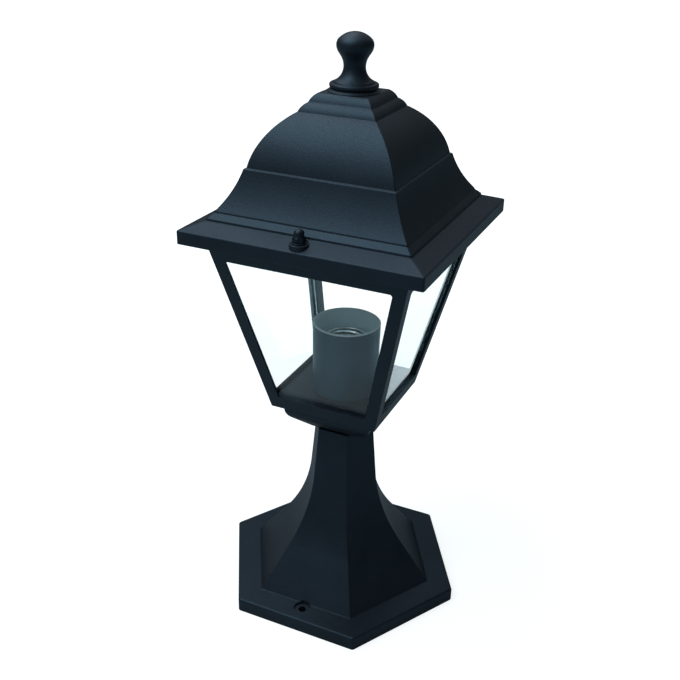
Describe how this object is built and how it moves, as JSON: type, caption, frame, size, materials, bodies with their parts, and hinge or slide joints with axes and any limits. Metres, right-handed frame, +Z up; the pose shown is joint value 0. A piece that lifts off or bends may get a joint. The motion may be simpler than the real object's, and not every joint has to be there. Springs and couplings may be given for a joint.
{
  "type": "garden pedestal lantern",
  "caption": "Black garden pedestal lantern with a moulded square roof and finial, sloping clear panes, a screw lampholder and a flared hexagonal pillar on a bolt-down foot.",
  "frame": {"origin": "middle of the foot's underside, on the pillar's axis", "axes": "+Z up the pillar's axis; the front, with a cap nut and a fixing hole, faces -Y; +X to the right"},
  "size_m": [0.1804, 0.16, 0.3987],
  "materials": {
    "black_paint": "satin",
    "black_nuts": "satin",
    "clear_glass": "clear",
    "grey_holder": "satin",
    "plated_shell": "bright",
    "brass": "bright",
    "zinc_steel": "satin",
    "pale_nylon": "matte",
    "live_insulation": "matte",
    "neutral_insulation": "matte",
    "earth_insulation": "matte"
  },
  "bodies": {
    "pedestal": {"pillar": "black_paint", "cage": "black_paint", "front_pane": "clear_glass", "right_pane": "clear_glass", "rear_pane": "clear_glass", "left_pane": "clear_glass", "roof_studs": "zinc_steel", "holder_base": "grey_holder", "holder_body": "grey_holder", "holder_insert": "grey_holder", "screw_shell": "plated_shell", "centre_contact": "brass", "threaded_tube": "zinc_steel", "tube_washer": "zinc_steel", "tube_nut": "zinc_steel", "terminal_bracket": "zinc_steel", "terminal_block": "pale_nylon", "terminal_screws": "brass", "block_screw": "zinc_steel", "live_lead": "live_insulation", "neutral_lead": "neutral_insulation", "earth_lead": "earth_insulation", "earth_screw": "zinc_steel"},
    "roof": {"roof": "black_paint", "finial": "black_paint", "finial_screw": "zinc_steel", "nut_washers": "black_nuts"},
    "front_nut": {"front_cap_nut": "black_nuts"},
    "rear_nut": {"rear_cap_nut": "black_nuts"}
  },
  "joints": [
    {"name": "roof_lift", "type": "slide", "parent": "pedestal", "child": "roof", "axis": [0, 0, 1], "range_m": [0, 0.14]},
    {"name": "front_nut_turn", "type": "hinge", "parent": "roof", "child": "front_nut", "pos_m": [0, -0.073, 0.29], "axis": [0, 0, 1], "continuous": true},
    {"name": "rear_nut_turn", "type": "hinge", "parent": "roof", "child": "rear_nut", "pos_m": [0, 0.073, 0.29], "axis": [0, 0, 1], "continuous": true}
  ]
}
